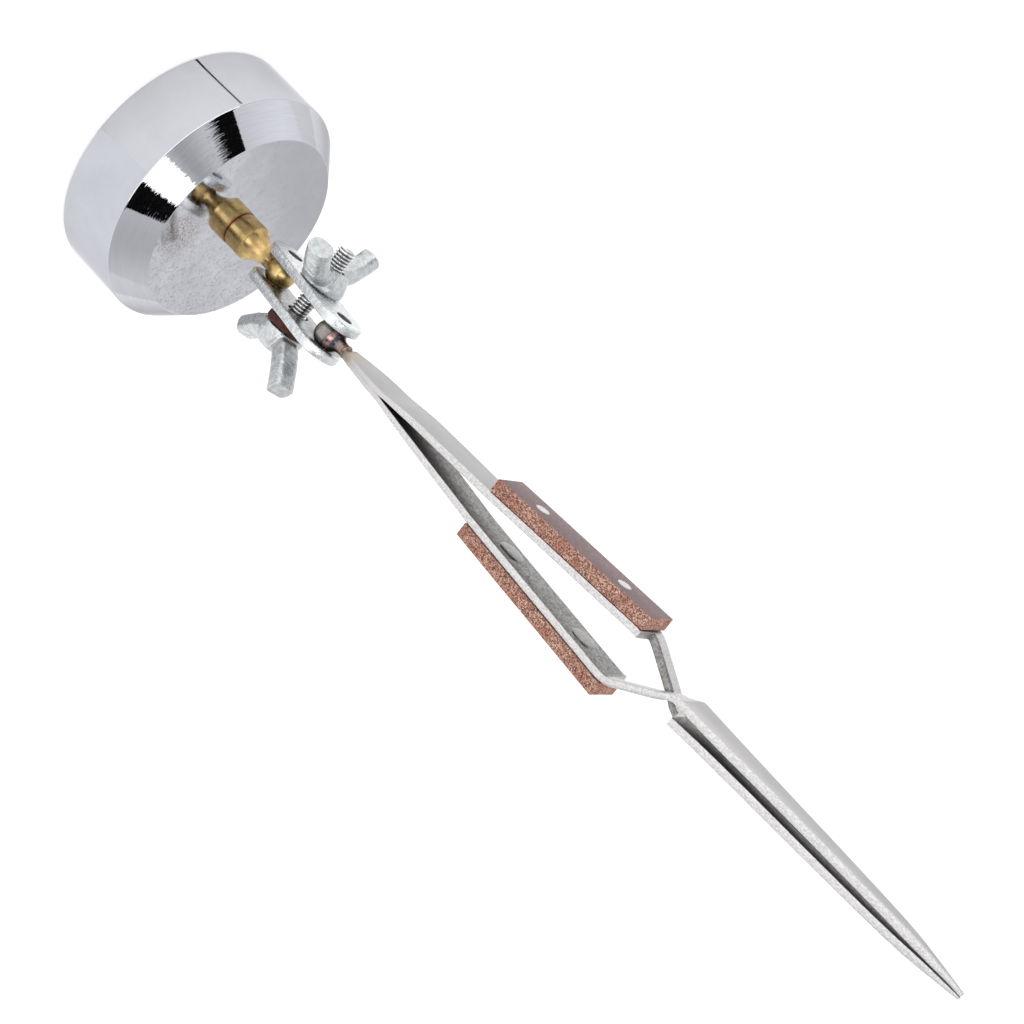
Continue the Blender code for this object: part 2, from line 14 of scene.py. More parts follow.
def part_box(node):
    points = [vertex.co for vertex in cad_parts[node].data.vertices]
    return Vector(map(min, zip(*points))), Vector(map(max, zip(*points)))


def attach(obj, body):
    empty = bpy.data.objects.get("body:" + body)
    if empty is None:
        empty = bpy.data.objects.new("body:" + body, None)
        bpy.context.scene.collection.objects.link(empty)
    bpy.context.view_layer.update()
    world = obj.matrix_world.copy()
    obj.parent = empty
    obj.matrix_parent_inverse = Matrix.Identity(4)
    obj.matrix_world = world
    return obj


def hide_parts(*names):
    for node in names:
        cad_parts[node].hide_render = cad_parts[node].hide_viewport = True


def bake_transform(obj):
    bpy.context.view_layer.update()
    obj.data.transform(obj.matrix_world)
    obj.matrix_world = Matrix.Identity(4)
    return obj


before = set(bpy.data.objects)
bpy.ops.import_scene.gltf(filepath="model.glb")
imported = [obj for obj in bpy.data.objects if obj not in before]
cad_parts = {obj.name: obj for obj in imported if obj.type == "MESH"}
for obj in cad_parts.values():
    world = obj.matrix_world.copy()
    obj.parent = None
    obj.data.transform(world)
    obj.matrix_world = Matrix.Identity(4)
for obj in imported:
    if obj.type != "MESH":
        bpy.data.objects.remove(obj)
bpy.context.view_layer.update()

MM = .001
TURN, QUARTER = 2.0 * math.pi, .5 * math.pi
SMOOTH_ANGLE = math.radians(38.0)

# Base weight
BASE_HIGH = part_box("base_weight")[1]
BASE_RADIUS = BASE_HIGH.x / MM
BASE_HEIGHT = BASE_HIGH.z / MM
BASE_WALL_TOP = 15.5
BASE_FACE_RADIUS = 21.6
BASE_FOOT = .6
BASE_CORNERS = (.2, .2, .34, .14, .2, .2)
BASE_SEGMENTS = 256
# Height over which a corner already takes the finish of the part above it
BASE_FINISH_STEP = .12
STUD_HOLE = (2.8, 10.3)
# Gloss colour at grazing angles
WALL_RIM_TINT = (.78, .78, .79, 1.0)
CHAMFER_RIM_TINT = (.5, .5, .51, 1.0)
# Turning marks fade as the tangent of the angle to this azimuth grows
MARKS_AZIMUTH = math.radians(75.0)
MARKS_MIDDLE = .87
MARKS_FADE = (.44, .56)
STAIN_CENTRE = (-5.5, 15.0, BASE_HEIGHT)

# Balls and clamp
BALL_RADIUS = 3.2
POST_BALL = Vector((0.0, 0.0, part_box("ball_post")[1].z / MM - BALL_RADIUS))
TIP_LOW, TIP_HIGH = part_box("tweezer_ball")
TIP_BALL = Vector((
    .5 * (TIP_LOW.x + TIP_HIGH.x) / MM,
    .5 * (TIP_LOW.y + TIP_HIGH.y) / MM,
    TIP_LOW.z / MM + BALL_RADIUS,
))
BALL_SPACING = (TIP_BALL - POST_BALL).length
CLAMP_LEAN = math.atan2(TIP_BALL.y, TIP_BALL.z - POST_BALL.z)
TWEEZER_YAW = math.radians(5.4)

TO_METRES = Matrix.Scale(MM, 4)
CLAMP = TO_METRES @ Matrix.Translation(POST_BALL) @ Matrix.Rotation(-CLAMP_LEAN, 4, "X")
TWEEZERS = TO_METRES @ Matrix.Translation(TIP_BALL) @ Matrix.Rotation(TWEEZER_YAW, 4, "Z")
SCREW_SEAT = CLAMP @ Matrix.Translation((0.0, 0.0, .5 * BALL_SPACING))
SCREW_AXIS = SCREW_SEAT @ Matrix.Rotation(-QUARTER, 4, "Y")

# Post: stud (radius, length), then the profile from the collar up, (radius, height)
STUD = (2.5, 10.0)
POST_CHAMFER = .12
COLLAR = (3.9, 26.6)
POST_NECK = (
    (3.62, 26.72), (3.3, 27.15), (2.92, 27.75), (2.62, 28.35), (2.36, 28.95), (2.14, 29.5),
    (1.95, 30.05), (1.8, 30.6), (1.7, 31.15), (1.65, 31.7), (1.66, 32.15),
)
# Tweezer ball: neck and braze bead, (radius, height above the ball's centre)
TIP_NECK = ((0.0, 4.75), (1.3, 4.75), (1.3, 4.2), (1.36, 3.6), (1.52, 3.15))
BEAD = (
    (0.0, 4.5), (1.25, 4.5), (1.34, 4.7), (1.4, 4.95), (1.36, 5.25), (1.15, 5.5), (.8, 5.6), (0.0, 5.65),
)
# Heat colours from the ball's far pole to the end of its neck, (share, colour)
HEAT_COLOURS = (
    (0.0, (.34, .32, .29)), (.4, (.3, .275, .25)), (.6, (.14, .125, .13)),
    (.68, (.42, .27, .24)), (.76, (.52, .33, .29)), (.82, (.1, .09, .11)),
    (.92, (.16, .145, .16)), (1.0, (.3, .22, .17)),
)

# Clamp plates and fasteners
PLATE_INNER, PLATE_OUTER, PLATE_END, PLATE_TRIM, PLATE_ROUND = 2.3, 4.35, 4.9, .8, .42
# Ball seat: radius at the ball's side, radius of its hole, depth
SEAT = (2.78, 1.7, .8)
SCREW_HOLE = 2.35
THREAD_CREST, THREAD_ROOT, THREAD_PITCH = 2.0, 1.52, .7
THREAD_SIDES, THREAD_ROWS, THREAD_CHAMFER = 48, 12, .55
SCREW_TIP, HEAD_START = 13.4, 6.35
NUT_START, NUT_BORE = 4.65, 2.32
# Washer: bore, rim, near and far side
WASHER = (2.35, 4.55, 4.65, 6.05)
SCREW_WING_ANGLE, NUT_WING_ANGLE = math.radians(77.5), math.radians(26.5)
WING_ROWS, WING_SIDES = 13, 28
# Middle line of a wing, (height, radius)
NUT_WING_PATH = ((2.5, 3.1), (2.8, 5.2), (3.7, 7.6), (6.0, 10.3), (8.1, 12.2))
SCREW_WING_PATH = ((2.1, 3.1), (2.4, 5.4), (3.9, 8.2), (5.8, 11.0), (7.5, 13.3))
STUB_WING_PATH = ((2.1, 3.1), (2.4, 5.4), (3.9, 8.0), (5.6, 10.2), (6.9, 11.9))
# Hub profile, (radius, height)
HUB = ((4.65, 0.0), (4.8, .5), (4.75, 1.3), (4.4, 2.4), (3.9, 3.6), (3.35, 4.5))

# Blades: (length, near face, far face, low side, high side). Up to the crossing the near face is the
# inner one, past it the far face is.
STRIP = (
    (5.45, .01, .75, -2.1, 2.1), (8, .01, .8, -3.1, 3.1), (12, .01, .88, -4.1, 4.1),
    (15, .01, .95, -4.6, 4.6), (18.6, .02, 1.04, -4.7, 4.7), (19.4, .15, 1.1, -4.7, 4.7),
    (23, .42, 1.62, -4.7, 4.7), (27, .75, 2.08, -4.65, 4.65), (38, 1.5, 2.95, -4.4, 4.4),
    (49, 2.24, 3.74, -4.15, 4.15), (60, 2.95, 4.45, -4.1, 4.1), (75, 3.85, 5.35, -4.1, 4.1),
    (86.5, 4.56, 6.06, -4.1, 4.1), (88.4, 4.66, 6.18, -4.1, 4.1), (89.5, 4.6, 6.14, -4.1, 4.1),
    (89.75, 4.55, 6.1, -4.1, -.25), (91, 4.0, 5.7, -4.1, -.25), (95, 1.77, 3.49, -4.1, -.25),
    (99.7, -.86, .86, -4.1, -.25), (102, -2.6, -1.0, -4.1, -.25), (103, -2.6, -1.1, -4.1, -.2),
    (104.2, -2.6, -1.05, -4.1, 4.1), (110, -2.5, -.82, -3.82, 3.82), (116, -2.45, -.73, -3.5, 3.5),
    (123, -2.45, -.7, -3.05, 3.05), (130, -2.42, -.69, -2.76, 2.76), (138, -2.34, -.66, -2.52, 2.52),
    (145, -2.26, -.6, -2.27, 2.27), (150, -2.2, -.55, -2.12, 2.12), (154, -2.15, -.5, -1.95, 1.95),
    (158, -2.08, -.4, -1.75, 1.75), (162, -1.95, -.26, -1.38, 1.38), (166, -1.6, -.18, -.98, .98),
    (169, -1.28, -.16, -.7, .7), (172, -.92, -.15, -.5, .5), (173.4, -.68, -.15, -.4, .4),
)
CROSSING = 101.0
# Slow bow of the strips across their faces and a shift along their width, (length, offset)
MID_PLANE = (
    (19, 0), (49, -.65), (90, -.7), (104, -.5), (116, -.37), (130, -.26), (145, -.09), (158, .06),
    (173.4, .2),
)
WIDTH_SHIFT = ((5.45, -.5), (12, -.9), (27, -.9), (49, 0))
GRIP_START, GRIP_END, GRIP_THICKNESS, GRIP_HALF_WIDTH, GRIP_GAP = 49.2, 89.4, 2.6, 4.3, .16
GRIP_STRAIGHT_END = 86.5
GRIP_CORNERS = (.12, .2)
RIVETS = ((58.2, "rear"), (80.0, "front"))
BLADE_THICKNESS = 1.5
# Rivet: low dome, (radius, share of its rise), and radii of its shank, bevel and flat end
DOME_RISE, DOME_FOOT = .36, -.02
DOME = ((0.0, 1.0), (.9, .97), (1.6, .86), (2.2, .66), (2.5, .4), (2.68, .15), (2.72, 0.0))
RIVET_END = (1.45, 1.36, .6)
# Stretch cut back to half width, where the arms pass each other
NOTCH = (89.6, 103.5)
CORNER_POINTS = 4
# Corner radius of a blade's inner and outer side, (length, radius)
INNER_CORNER = ((18.6, .01), (19.6, .18))
OUTER_CORNER = ((5, .16), (88, .22), (91, .62), (102, .62), (105, .26), (145, .3), (162, .5), (173, .35))


# ---- materials

def put(tree, node, values):
    """Link a socket or set a plain value on each named or numbered input."""
    for key, value in values.items():
        if isinstance(value, bpy.types.NodeSocket):
            tree.links.new(value, node.inputs[key])
        else:
            node.inputs[key].default_value = value


def add_node(tree, kind, values, **settings):
    """Add one shader node with its inputs and settings."""
    item = tree.nodes.new("ShaderNode" + kind)
    for key, value in settings.items():
        setattr(item, key, value)
    put(tree, item, values)
    return item


class Graph:
    """Builds the nodes of one material, layer by layer; a value may be a number, a colour or a socket."""

    def __init__(self, name, colour=None):
        self.colour = colour
        self.material = bpy.data.materials.new(name)
        self.material.use_nodes = True

    def add(self, kind, values, **settings):
        """Add one node to the material."""
        return add_node(self.material.node_tree, kind, values, **settings)

    def place(self):
        """Place on the piece in its own rest frame, in millimetres."""
        values = {0: self.add("TexCoord", {}).outputs["Object"], "Scale": 1.0 / MM}
        return self.add("VectorMath", values, operation="SCALE").outputs[0]

    def grain(self):
        """Vector stored on the mesh, which stays with a piece that bends."""
        return self.add("Attribute", {}, attribute_name="grain").outputs["Vector"]

    def axis(self, vector, index):
        """One component of a vector."""
        return self.add("SeparateXYZ", {0: vector}).outputs[index]

    def noise(self, vector, scale, detail=3.0, rough=.5, distortion=0.0):
        """Fractal noise, 0 to 1; three scales stretch it along the axes."""
        if isinstance(scale, tuple):
            vector = self.add("VectorMath", {0: vector, 1: scale}, operation="MULTIPLY").outputs[0]
            scale = 1.0
        return self.add("TexNoise", {
            "Vector": vector, "Scale": scale, "Detail": detail, "Roughness": rough, "Distortion": distortion,
        }).outputs[0]

    def math(self, operation, first, second=0.0):
        """One arithmetic node."""
        return self.add("Math", {0: first, 1: second}, operation=operation).outputs[0]

    def times(self, first, second):
        """Product."""
        return self.math("MULTIPLY", first, second)

    def plus(self, first, second, share=None):
        """Sum, with a share of the second value."""
        return self.math("ADD", first, second if share is None else self.times(second, share))

    def span(self, value, low, high, start=0.0, finish=1.0):
        """Map low..high to start..finish, clamped and smooth."""
        return self.add("MapRange", {
            "Value": value, "From Min": low, "From Max": high, "To Min": start, "To Max": finish,
        }, interpolation_type="SMOOTHSTEP").outputs[0]

    def cover(self, share, other):
        """Lay a share of another colour over the colour so far."""
        mix = self.add("Mix", {0: share, 6: rgba(self.colour), 7: rgba(other)}, data_type="RGBA")
        self.colour = mix.outputs[2]

    def tint(self, other, value, low, high, strength=1.0):
        """Turn the colour so far into another as a value goes from low to high."""
        self.cover(self.span(value, low, high, 0.0, strength), other)

    def gloss(self, value, low, high):
        """Roughness between two limits."""
        return self.span(value, .3, .7, low, high)

    def finish(self, rough, relief=None, depth=0.0, metallic=1.0, **extra):
        """Wire the shader and return the material; depth is that of the relief in millimetres."""
        values = {"Base Color": self.colour, "Roughness": rough, "Metallic": metallic}
        if relief is not None:
            bump = {"Height": relief, "Distance": depth * MM, "Strength": 1.0}
            values["Normal"] = self.add("Bump", bump).outputs[0]
        values.update((key.replace("_", " "), value) for key, value in extra.items())
        tree = self.material.node_tree
        put(tree, tree.nodes["Principled BSDF"], values)
        return self.material


def rgba(colour):
    """Give a plain colour its alpha."""
    if isinstance(colour, tuple) and len(colour) == 3:
        return (*colour, 1.0)
    return colour


def chrome_wall():
    """Plated wall: nearly mirror bright, with faint turning rings and haze."""
    graph = Graph("chrome_wall", (.54, .55, .575))
    rings = graph.noise(graph.grain(), (7.0, .02, .02), 2.0)
    haze = graph.noise(graph.place(), .09, 4.0, .6)
    specks = graph.noise(graph.place(), 1.7, 4.0, .7)
    graph.tint((.5, .51, .535), haze, .35, .7)
    graph.tint((.43, .435, .45), specks, .66, .8)
    return graph.finish(graph.gloss(haze, .05, .11), rings, .0012, Specular_Tint=WALL_RIM_TINT)


def chrome_chamfer():
    """Turned chamfer: short turning marks pull every reflection into ragged streaks."""
    graph = Graph("chrome_chamfer", (.64, .65, .68))
    grain = graph.grain()
    fine = graph.noise(grain, (3.8, .42, .42), 2.0, .5)
    broad = graph.noise(grain, (1.4, .25, .25), 2.0)
    shade = graph.noise(grain, (3.0, .12, .12), 3.0)
    x, y = graph.axis(grain, 1), graph.axis(grain, 2)
    towards, aside = (
        graph.plus(graph.times(x, math.cos(turn)), y, math.sin(turn))
        for turn in (MARKS_AZIMUTH, MARKS_AZIMUTH + QUARTER)
    )
    apart = graph.math("ABSOLUTE", graph.math("DIVIDE", aside, towards))
    marks = graph.math("SUBTRACT", graph.plus(broad, fine, .75), MARKS_MIDDLE)
    height = graph.times(marks, graph.span(apart, *MARKS_FADE, 1.0, .1))
    graph.tint((.6, .61, .635), shade, .3, .7)
    return graph.finish(graph.gloss(broad, .02, .05), height, .042, Specular_Tint=CHAMFER_RIM_TINT)


def chrome_face():
    """Plated top: mirror with milky haze, pits and a few brown stains."""
    graph = Graph("chrome_face", (.6, .605, .635))
    place = graph.place()
    haze = graph.noise(place, .16, 5.0, .62, .6)
    mottle = graph.noise(place, .75, 5.0, .65)
    pits = graph.noise(place, 2.6, 4.0, .7)
    around = graph.noise(place, .3, 3.0)
    x = graph.axis(place, 0)
    side = graph.plus(x, graph.axis(place, 1), -.6)
    graph.tint((.68, .685, .71), haze, .4, .68)
    graph.tint((.42, .42, .445), side, -4.0, 20.0, .75)
    graph.tint((.44, .44, .46), mottle, .5, .7, .6)
    distance = graph.add("VectorMath", {0: place, 1: STAIN_CENTRE}, operation="DISTANCE")
    near = graph.span(graph.plus(distance.outputs["Value"], around, -5.0), 4.5, 0.0)
    stain = graph.times(graph.span(pits, .47, .6), near)
    graph.cover(graph.times(stain, .85), (.3, .225, .17))
    left = graph.span(graph.math("SUBTRACT", x, around), 2.0, -12.0)
    specks = graph.times(graph.span(graph.noise(place, 1.7, 4.0, .75), .53, .63), left)
    graph.cover(graph.times(specks, .65), (.3, .29, .29))
    rough = graph.plus(graph.span(mottle, .35, .7, .04, .13), stain, .2)
    return graph.finish(rough, mottle, .006)


def brass():
    """Turned brass: olive gold, with tool rings and darker tarnish in patches."""
    graph = Graph("turned_brass", (.58, .42, .18))
    place = graph.place()
    rings = graph.noise(graph.grain(), (9.0, .05, .05), 3.0)
    tarnish = graph.noise(place, .45, 4.0, .6)
    spots = graph.noise(place, 2.2, 4.0, .7)
    graph.tint((.4, .26, .105), tarnish, .4, .7)
    graph.tint((.24, .135, .06), spots, .6, .74, .7)
    graph.tint((.34, .12, .05), graph.axis(place, 2), BASE_HEIGHT + .75, BASE_HEIGHT, .85)
    return graph.finish(graph.gloss(tarnish, .23, .36), rings, .008)


def zinc(name, tone, lump, depth):
    """Zinc plating over a pressed or cast surface: pale, lumpy, with grey pits."""
    graph = Graph(name, tuple(tone * value for value in (.985, 1.015, 1.02)))
    place = graph.place()
    lumps = graph.noise(place, lump, 3.0, .55)
    cloud = graph.noise(place, .9, 4.0, .65)
    pits = graph.noise(place, 2.6, 4.0, .75)
    dark = tuple(.78 * tone * value for value in (.99, 1.02, 1.02))
    graph.tint(dark, cloud, .4, .64)
    graph.tint((.24, .25, .24), pits, .6, .7, .5)
    return graph.finish(graph.gloss(cloud, .2, .34), graph.plus(lumps, pits, .25), depth, .85)


def thread_zinc():
    """Plated thread: painted highlight on the crests, painted shade in the roots."""
    graph = Graph("zinc_thread_painted_light", (.3, .3, .3))
    wear = graph.noise(graph.place(), 1.8, 3.0)
    # painted highlight and shade: dark roots brighten to pale crests along the thread's profile
    graph.tint((.78, .79, .79), graph.axis(graph.grain(), 1), .1, .7)
    graph.tint((.35, .35, .35), wear, .55, .75, .5)
    return graph.finish(graph.gloss(wear, .14, .28))


def washer_fibre():
    """Red-brown vulcanised fibre, matt and streaky."""
    graph = Graph("fibre_washer_red", (.03, .012, .01))
    streaks = graph.noise(graph.place(), (4.5, .9, .9), 4.0, .7)
    graph.tint((.095, .038, .028), streaks, .32, .66)
    return graph.finish(.8, streaks, .09, 0.0, Specular_IOR_Level=.12)


def blued():
    """Heat-marked steel: near black ball, copper ring and straw colours beside the neck."""
    graph = Graph("heat_marked_steel")
    place = graph.place()
    wander = graph.noise(place, .8, 3.0, .6)
    along = graph.math("SUBTRACT", graph.axis(place, 2), TIP_BALL.z)
    along = graph.plus(along, graph.math("SUBTRACT", wander, .5), .9)
    ramp = graph.add("ValToRGB", {0: graph.span(along, -BALL_RADIUS, 4.5)})
    ramp.color_ramp.interpolation = "EASE"
    elements = ramp.color_ramp.elements
    for element, (position, colour) in zip(elements, (HEAT_COLOURS[0], HEAT_COLOURS[-1])):
        element.position, element.color = position, rgba(colour)
    for position, colour in HEAT_COLOURS[1:-1]:
        elements.new(position).color = rgba(colour)
    scale = graph.noise(place, 1.9, 4.0, .7)
    graph.colour = ramp.outputs[0]
    graph.tint((.05, .045, .045), scale, .6, .72, .6)
    return graph.finish(graph.gloss(scale, .14, .34), scale, .03)


def braze():
    """Brazing alloy bead: copper and straw with dark flux."""
    graph = Graph("braze_alloy_bead", (.36, .23, .17))
    place = graph.place()
    flow = graph.noise(place, 1.1, 4.0, .65)
    flux = graph.noise(place, 2.4, 4.0, .7)
    graph.tint((.24, .2, .17), flow, .35, .65)
    graph.tint((.08, .06, .06), flux, .5, .64, .85)
    return graph.finish(graph.gloss(flux, .25, .5), flow, .12)


def heat_tint(graph, grain):
    """Straw and brown tint on the first few millimetres beside the braze."""
    reach = graph.plus(graph.axis(grain, 1), graph.noise(grain, .6, 3.0), 3.0)
    graph.tint((.4, .33, .24), reach, 12.5, 7.5, .75)
    graph.tint((.22, .13, .09), reach, 8.4, 6.4, .85)


def blade_face():
    """Outer blade faces: even satin nickel with faint long grain."""
    graph = Graph("nickel_face", (.372, .364, .362))
    grain = graph.grain()
    lines = graph.noise(grain, (5.5, .16, 5.5), 4.0, .6)
    cloud = graph.noise(grain, .1, 4.0, .6)
    fleck = graph.noise(grain, 2.8, 3.0, .7)
    graph.tint((.33, .323, .321), cloud, .35, .7)
    graph.tint((.42, .412, .41), lines, .35, .65, .35)
    graph.tint((.22, .21, .21), fleck, .7, .8, .5)
    jaw = graph.span(graph.axis(grain, 1), 102.0, 106.0)
    worn = graph.times(jaw, graph.span(graph.axis(grain, 0), 1.5, -3.5))
    graph.cover(worn, (.5, .485, .495))
    heat_tint(graph, grain)
    return graph.finish(graph.gloss(lines, .3, .42), lines, .008)


def blade_edge():
    """Sheared blade edges: bright, coarse and speckled."""
    graph = Graph("nickel_edge", (.68, .67, .66))
    grain = graph.grain()
    tear = graph.noise(grain, (4.2, 1.8, 4.2), 4.0, .78)
    speck = graph.noise(grain, 3.1, 4.0, .78)
    graph.tint((.48, .47, .46), tear, .38, .62)
    graph.tint((.27, .255, .24), speck, .58, .68, .6)
    graph.tint((.55, .54, .53), graph.axis(grain, 1), 25.0, 18.0)
    heat_tint(graph, grain)
    return graph.finish(graph.gloss(speck, .3, .5), graph.plus(tear, speck, .5), .05)


def blade_inner():
    """Inner blade faces: mottled scale and rust specks, darkened overall as painted shade of the gap between
    the arms, near black towards the fork and between the jaws.
    """
    graph = Graph("nickel_inner_scale_and_shade", (.32, .312, .3))
    grain = graph.grain()
    mottle = graph.noise(grain, 1.2, 5.0, .72, .5)
    speck = graph.noise(grain, 2.4, 3.0, .7)
    rust = graph.noise(grain, (1.3, 1.3, 1.1), 4.0, .75)
    along = graph.axis(grain, 1)
    near_fork_shade = graph.span(along, 46.0, 18.0)
    graph.tint((.22, .212, .2), mottle, .38, .64)
    graph.tint((.12, .11, .1), speck, .51, .6, .75)
    graph.tint((.2, .12, .085), rust, .58, .66, .65)
    # painted shade: inner faces go near black towards the fork, where the arms close in
    graph.cover(graph.times(near_fork_shade, .82), (.06, .056, .055))
    # painted shade: dark inner faces in the gap between the jaws
    graph.tint((.045, .04, .036), along, 104.5, 112.0, .88)
    return graph.finish(graph.gloss(mottle, .34, .52), mottle, .03, .95)


def open_fibre(graph, grain):
    """Open fibre: tan and red-brown tufts with dark pores; returns its relief."""
    graph.colour = (.16, .055, .04)
    fibre = graph.noise(grain, (3.8, 2.6, 3.8), 4.0, .72)
    pores = graph.noise(grain, (4.6, 3.3, 4.6), 3.0, .75, .6)
    warm = graph.noise(graph.place(), .35, 3.0)
    graph.tint((.72, .45, .34), fibre, .38, .6)
    graph.tint((.36, .13, .085), warm, .4, .62, .55)
    graph.tint((.06, .022, .018), pores, .48, .58, .92)
    return fibre


def grip_skin():
    """Sealed outer face of the grip: smooth mauve brown, torn back to the fibre along its sides."""
    graph = Graph("grip_skin")
    place, grain = graph.place(), graph.grain()
    open_fibre(graph, grain)
    torn, graph.colour = graph.colour, (.135, .062, .066)
    cloud = graph.noise(place, .12, 4.0, .6)
    weave = graph.noise(place, 1.5, 4.0, .65)
    fleck = graph.noise(place, 3.4, 3.0, .7)
    wander = graph.noise(grain, (1.6, 1.1, 1.6), 4.0, .7)
    graph.tint((.105, .046, .05), cloud, .35, .68)
    graph.tint((.19, .095, .09), weave, .52, .7, .35)
    graph.tint((.3, .17, .13), fleck, .7, .8, .5)
    bare = graph.span(graph.plus(graph.math("ABSOLUTE", graph.axis(grain, 0)), wander, 7.0), 7.25, 7.6)
    graph.cover(bare, torn)
    return graph.finish(graph.plus(graph.gloss(weave, .34, .5), bare, .35), weave, .018, 0.0)


def grip_edge():
    """Sawn edge of the grip."""
    graph = Graph("grip_edge")
    return graph.finish(.82, open_fibre(graph, graph.grain()), .22, 0.0, Specular_IOR_Level=.25)


def rivet_steel():
    """Rivets: bright flush ends and light scuffs; the domes take the darker grey of the inner faces, painted
    shade between the arms.
    """
    graph = Graph("rivet_steel_shaded_domes", (.6, .6, .6))
    scuff = graph.noise(graph.place(), 1.6, 4.0, .7)
    graph.tint((.46, .455, .45), scuff, .38, .7)
    # painted shade: the dome gets a darker grey than the bright flush end
    end, graph.colour = graph.colour, (.3, .295, .285)
    graph.tint((.22, .215, .205), scuff, .38, .7)
    graph.tint(end, graph.axis(graph.grain(), 0), 4.0, 4.6)
    return graph.finish(graph.gloss(scuff, .18, .32), scuff, .02)


def floor_material():
    """Plain pale studio floor with the faintest unevenness."""
    graph = Graph("studio_floor", (.62, .62, .62))
    graph.cover(graph.noise(graph.place(), .004, 2.0), (.64, .64, .64))
    return graph.finish(.9, metallic=0.0, Specular_IOR_Level=.1, Emission_Strength=.4)


# ---- meshes

class Shell:
    """Vertices, faces, a material number per face and a grain vector per vertex."""

    def __init__(self):
        self.verts, self.faces, self.slots, self.grain = [], [], [], []

    def point(self, place, grain=(0.0, 0.0, 0.0)):
        """Add a vertex and return its index."""
        self.verts.append(tuple(place))
        self.grain.append(tuple(grain))
        return len(self.verts) - 1

    def face(self, corners, slot=0):
        """Add a face."""
        self.faces.append(tuple(corners))
        self.slots.append(slot)

    def take(self, other, matrix=None, slot_shift=0):
        """Append another shell, moved by a matrix."""
        shift = len(self.verts)
        for place, grain in zip(other.verts, other.grain):
            self.point(matrix @ Vector(place) if matrix else place, grain)
        for corners, slot in zip(other.faces, other.slots):
            self.face([corner + shift for corner in corners], slot + slot_shift)


def polar(radius, angle):
    """Point of a circle round the origin."""
    return radius * math.cos(angle), radius * math.sin(angle)


def new_mesh(name, places, faces):
    """Mesh from its points and faces."""
    mesh = bpy.data.meshes.new(name)
    mesh.from_pydata(places, [], faces)
    return mesh


def new_object(name, data):
    """Object linked to the scene."""
    item = bpy.data.objects.new(name, data)
    bpy.context.scene.collection.objects.link(item)
    return item


def make_piece(name, shell, matrix, materials, body, nodes):
    """Turn a shell into an object in the CAD's frame that stands for its CAD nodes."""
    mesh = new_mesh(name, [matrix @ Vector(place) for place in shell.verts], shell.faces)
    for material in materials:
        mesh.materials.append(material)
    mesh.polygons.foreach_set("material_index", shell.slots)
    attribute = mesh.attributes.new("grain", "FLOAT_VECTOR", "POINT")
    attribute.data.foreach_set("vector", np.array(shell.grain, np.float32).ravel())
    tidy_normals(mesh)
    item = new_object(name, mesh)
    if body:
        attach(item, body)
    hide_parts(*nodes)
    return item


def tidy_normals(mesh):
    """Point every face outwards, shade smooth and keep real corners sharp."""
    builder = bmesh.new()
    builder.from_mesh(mesh)
    bmesh.ops.recalc_face_normals(builder, faces=builder.faces)
    builder.to_mesh(mesh)
    builder.free()
    mesh.shade_smooth()
    mesh.set_sharp_from_angle(angle=SMOOTH_ANGLE)


def rounded(points, radius, steps):
    """Round the inner corners of an open profile; radius is one number or one per corner."""
    result = [points[0]]
    radii = radius if isinstance(radius, tuple) else (radius,) * len(points)
    for before, corner, after, size in zip(points[:-2], points[1:-1], points[2:], radii):
        here = Vector(corner)
        back, ahead = Vector(before) - here, Vector(after) - here
        reach = min(size, .45 * back.length, .45 * ahead.length)
        start, finish = here + back.normalized() * reach, here + ahead.normalized() * reach
        for step in range(steps + 1):
            share = step / steps
            first = start.lerp(here, share)
            second = here.lerp(finish, share)
            result.append(tuple(first.lerp(second, share)))
    result.append(points[-1])
    return result


def lathe(profile, segments, slot_of=None, wobble=0.0, ring=False):
    """Turn a (radius, height) profile about local Z."""
    shell = Shell()
    rows, length = [], 0.0
    for index, (radius, height) in enumerate(profile):
        if index:
            length += math.dist(profile[index - 1], profile[index])
        if radius < 1.0e-6:
            rows.append([shell.point((0.0, 0.0, height), (length, 0.0, 0.0))])
            continue
        row = []
        for step in range(segments):
            x, y = polar(radius, TURN * step / segments)
            if wobble:
                push = 1.0 + wobble * noise.noise(Vector((x, y, height)) * 1.3) / max(radius, 1.0)
                x, y = x * push, y * push
            row.append(shell.point((x, y, height), (length, x, y)))
        rows.append(row)
    for low in range(len(rows) - (not ring)):
        high = (low + 1) % len(rows)
        skin(shell, rows[low], rows[high], slot_of(profile[low], profile[high]) if slot_of else 0)
    return shell


def skin(shell, low, high, slot=0):
    """Join two rows of points, either of which may be a single point."""
    count = max(len(low), len(high))
    for step in range(count):
        following = (step + 1) % count
        if len(low) == 1:
            shell.face((low[0], high[following], high[step]), slot)
        elif len(high) == 1:
            shell.face((low[step], low[following], high[0]), slot)
        else:
            shell.face((low[step], low[following], high[following], high[step]), slot)


def skin_rows(shell, rows, slot=0):
    """Join each row of points to the next one."""
    for low, high in zip(rows[:-1], rows[1:]):
        skin(shell, low, high, slot)


def ball_profile(centre, start, finish, steps=28):
    """Profile points of a ball between two angles from its top; the last one lies on the axis."""
    points = []
    for step in range(steps):
        height, radius = polar(BALL_RADIUS, start + (finish - start) * step / steps)
        points.append((radius, centre + height))
    return points + [(0.0, centre + BALL_RADIUS * math.cos(finish))]


def look_up(table, length):
    """Interpolate a (length, value) table."""
    return float(np.interp(length, *zip(*table)))


# ---- base

